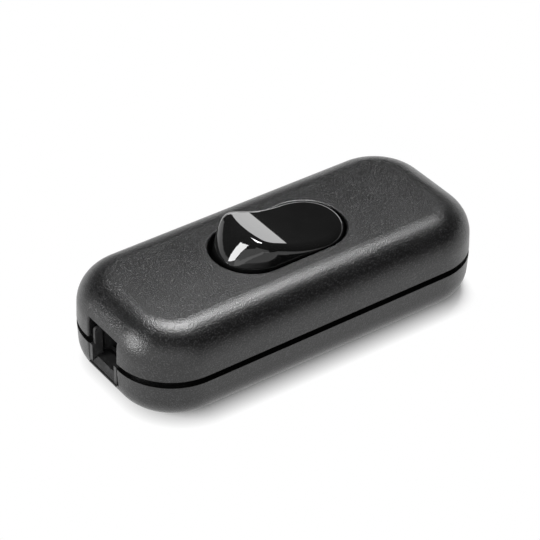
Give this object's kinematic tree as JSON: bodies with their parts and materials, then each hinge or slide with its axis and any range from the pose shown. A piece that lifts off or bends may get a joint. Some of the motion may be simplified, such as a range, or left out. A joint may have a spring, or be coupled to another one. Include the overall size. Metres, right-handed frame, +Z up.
{
  "type": "inline cord switch",
  "caption": "Inline cord switch: flat rounded black housing in screwed halves, glossy wave-shaped rocker on top, cord entry at each end, switching contacts and cord clamps inside.",
  "frame": {"origin": "centre of the housing's footprint, on its flat underside", "axes": "+X along the length towards the outlet end, +Y across towards the live pole, +Z up through the rocker"},
  "size_m": [0.0838, 0.0366, 0.0264],
  "materials": {
    "shell_black": "fine spark-eroded grain",
    "rocker_gloss_black": "polished",
    "moulded_black": "smooth satin",
    "plunger_white": "natural acetal",
    "brass": "stamped",
    "silver": "silver contact alloy",
    "steel": "zinc plated",
    "spring_steel": "drawn wire"
  },
  "bodies": {
    "housing": {"base_shell": "shell_black", "cover_shell": "shell_black", "inlet_cord_saddle": "moulded_black", "outlet_cord_saddle": "moulded_black", "inlet_cord_clamp": "moulded_black", "outlet_cord_clamp": "moulded_black", "terminal_screws": "steel", "earth_screws": "steel", "housing_screws": "steel", "clamp_screws": "steel", "fulcrum_terminal_live": "brass", "fixed_contact_live": "brass", "inlet_terminal_live": "brass", "outlet_terminal_live": "brass", "fixed_contact_tip_live": "silver", "fulcrum_terminal_neutral": "brass", "fixed_contact_neutral": "brass", "inlet_terminal_neutral": "brass", "outlet_terminal_neutral": "brass", "fixed_contact_tip_neutral": "silver", "earth_terminal": "brass"},
    "rocker": {"rocker": "rocker_gloss_black", "plunger_spring_live": "spring_steel", "plunger_spring_neutral": "spring_steel"},
    "plunger_live": {"plunger_live": "plunger_white"},
    "contact_rocker_live": {"contact_rocker_live": "brass", "moving_contact_tip_live": "silver"},
    "plunger_neutral": {"plunger_neutral": "plunger_white"},
    "contact_rocker_neutral": {"contact_rocker_neutral": "brass", "moving_contact_tip_neutral": "silver"}
  },
  "joints": [
    {"name": "rocker_tilt", "type": "hinge", "parent": "housing", "child": "rocker", "pos_m": [0, 0, 0.0159], "axis": [0, -1, 0], "range_deg": [0, 18]},
    {"name": "plunger_live_slide", "type": "slide", "parent": "rocker", "child": "plunger_live", "axis": [0.1564, 0, 0.9877], "range_m": [0, 0.0008], "stiffness_N_per_m": 400, "springref_m": -0.002, "deforming": ["plunger_spring_live"]},
    {"name": "contact_live_tilt", "type": "hinge", "parent": "housing", "child": "contact_rocker_live", "pos_m": [0, 0.0046, 0.0075], "axis": [0, 1, 0], "range_deg": [0, 14]},
    {"name": "plunger_neutral_slide", "type": "slide", "parent": "rocker", "child": "plunger_neutral", "axis": [0.1564, 0, 0.9877], "range_m": [0, 0.0008], "stiffness_N_per_m": 400, "springref_m": -0.002, "deforming": ["plunger_spring_neutral"]},
    {"name": "contact_neutral_tilt", "type": "hinge", "parent": "housing", "child": "contact_rocker_neutral", "pos_m": [0, -0.0046, 0.0075], "axis": [0, 1, 0], "range_deg": [0, 14]}
  ],
  "couplings": [
    {"joint": "contact_live_tilt", "follows": "rocker_tilt", "ratio": 0.7777},
    {"joint": "contact_neutral_tilt", "follows": "rocker_tilt", "ratio": 0.7777}
  ]
}
